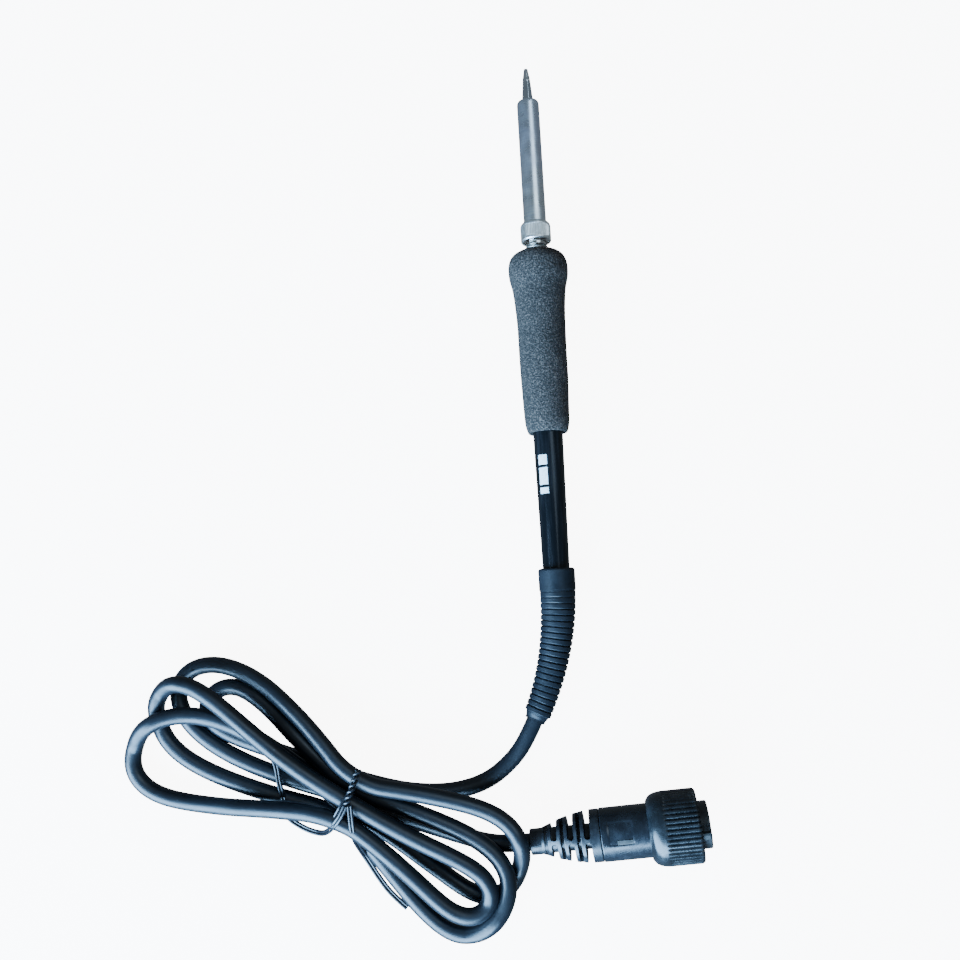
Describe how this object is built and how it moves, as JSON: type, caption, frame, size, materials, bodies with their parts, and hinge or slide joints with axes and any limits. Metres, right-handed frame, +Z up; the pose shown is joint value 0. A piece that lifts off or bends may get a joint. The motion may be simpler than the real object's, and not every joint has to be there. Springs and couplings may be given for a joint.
{
  "type": "soldering iron",
  "caption": "Low-voltage soldering iron with a removable conical tip, a foam grip, a tied rubber cord and a screw-ring connector for its power unit.",
  "frame": {"origin": "on the table under the middle of the iron, measured without its strain relief, cord and connector", "axes": "+Y along the iron towards its tip, +Z up, +X to the right of the iron seen from above, where the connector lies"},
  "size_m": [0.2002, 0.3148, 0.0256],
  "materials": {
    "tip_plating": "bright plated, tinned at the point",
    "barrel_steel": "brushed stainless, slightly heat tinted",
    "nut_metal": "satin with a fine straight knurl",
    "nipple_nickel": "polished nickel",
    "ceramic": "unglazed white alumina",
    "spring_steel": "spring wire",
    "handle_plastic": "glossy black moulding",
    "grip_foam": "matt closed-cell foam, dark grey-blue",
    "board_laminate": "resin-bonded paper laminate",
    "lead_wire": "nickel wire",
    "wire_insulation": "silicone insulation",
    "cord_rubber": "satin black rubber",
    "clamp_plastic": "nylon",
    "relief_rubber": "dark grey ribbed rubber",
    "tie_plastic": "black coated wire",
    "plug_boot_rubber": "satin black rubber",
    "plug_plastic": "glossy black moulding",
    "ring_plastic": "fluted black moulding",
    "nose_plastic": "black moulding with a keyway",
    "insert_plastic": "black insulating disc",
    "contact_brass": "plated brass pins"
  },
  "bodies": {
    "root": {"nipple": "nipple_nickel", "heating_element": "ceramic", "element_collar": "ceramic", "earth_spring": "spring_steel", "handle": "handle_plastic", "foam_grip": "grip_foam", "terminal_board": "board_laminate", "heater_leads": "lead_wire", "sensor_leads": "lead_wire", "cord_conductors": "wire_insulation", "cord_jacket_end": "cord_rubber", "cord_clamp": "clamp_plastic", "strain_relief": "relief_rubber", "cord_lead": "cord_rubber", "cord_hank": "cord_rubber", "twist_tie": "tie_plastic", "plug_boot": "plug_boot_rubber", "plug_shell": "plug_plastic", "plug_nose": "nose_plastic", "plug_insert": "insert_plastic", "plug_contacts": "contact_brass", "plug_wires": "wire_insulation"},
    "barrel": {"tip_barrel": "barrel_steel"},
    "nut": {"barrel_nut": "nut_metal"},
    "tip": {"tip": "tip_plating"},
    "ring": {"coupling_ring": "ring_plastic"}
  },
  "joints": [
    {"name": "barrel_pull", "type": "slide", "parent": "root", "child": "barrel", "axis": [0, 0.9992, 0.039], "range_m": [0, 0.07]},
    {"name": "nut_turn", "type": "hinge", "parent": "barrel", "child": "nut", "pos_m": [0, 0.02973, 0.01159], "axis": [0, 0.9992, 0.039], "continuous": true},
    {"name": "tip_pull", "type": "slide", "parent": "root", "child": "tip", "axis": [0, 0.9992, 0.039], "range_m": [0, 0.035]},
    {"name": "ring_turn", "type": "hinge", "parent": "root", "child": "ring", "pos_m": [0.0335, -0.18427, 0.0124], "axis": [0.9878, 0.0725, 0.1381], "continuous": true}
  ],
  "couplings": [
    {"joint": "tip_pull", "follows": "barrel_pull", "ratio": 0.5}
  ]
}
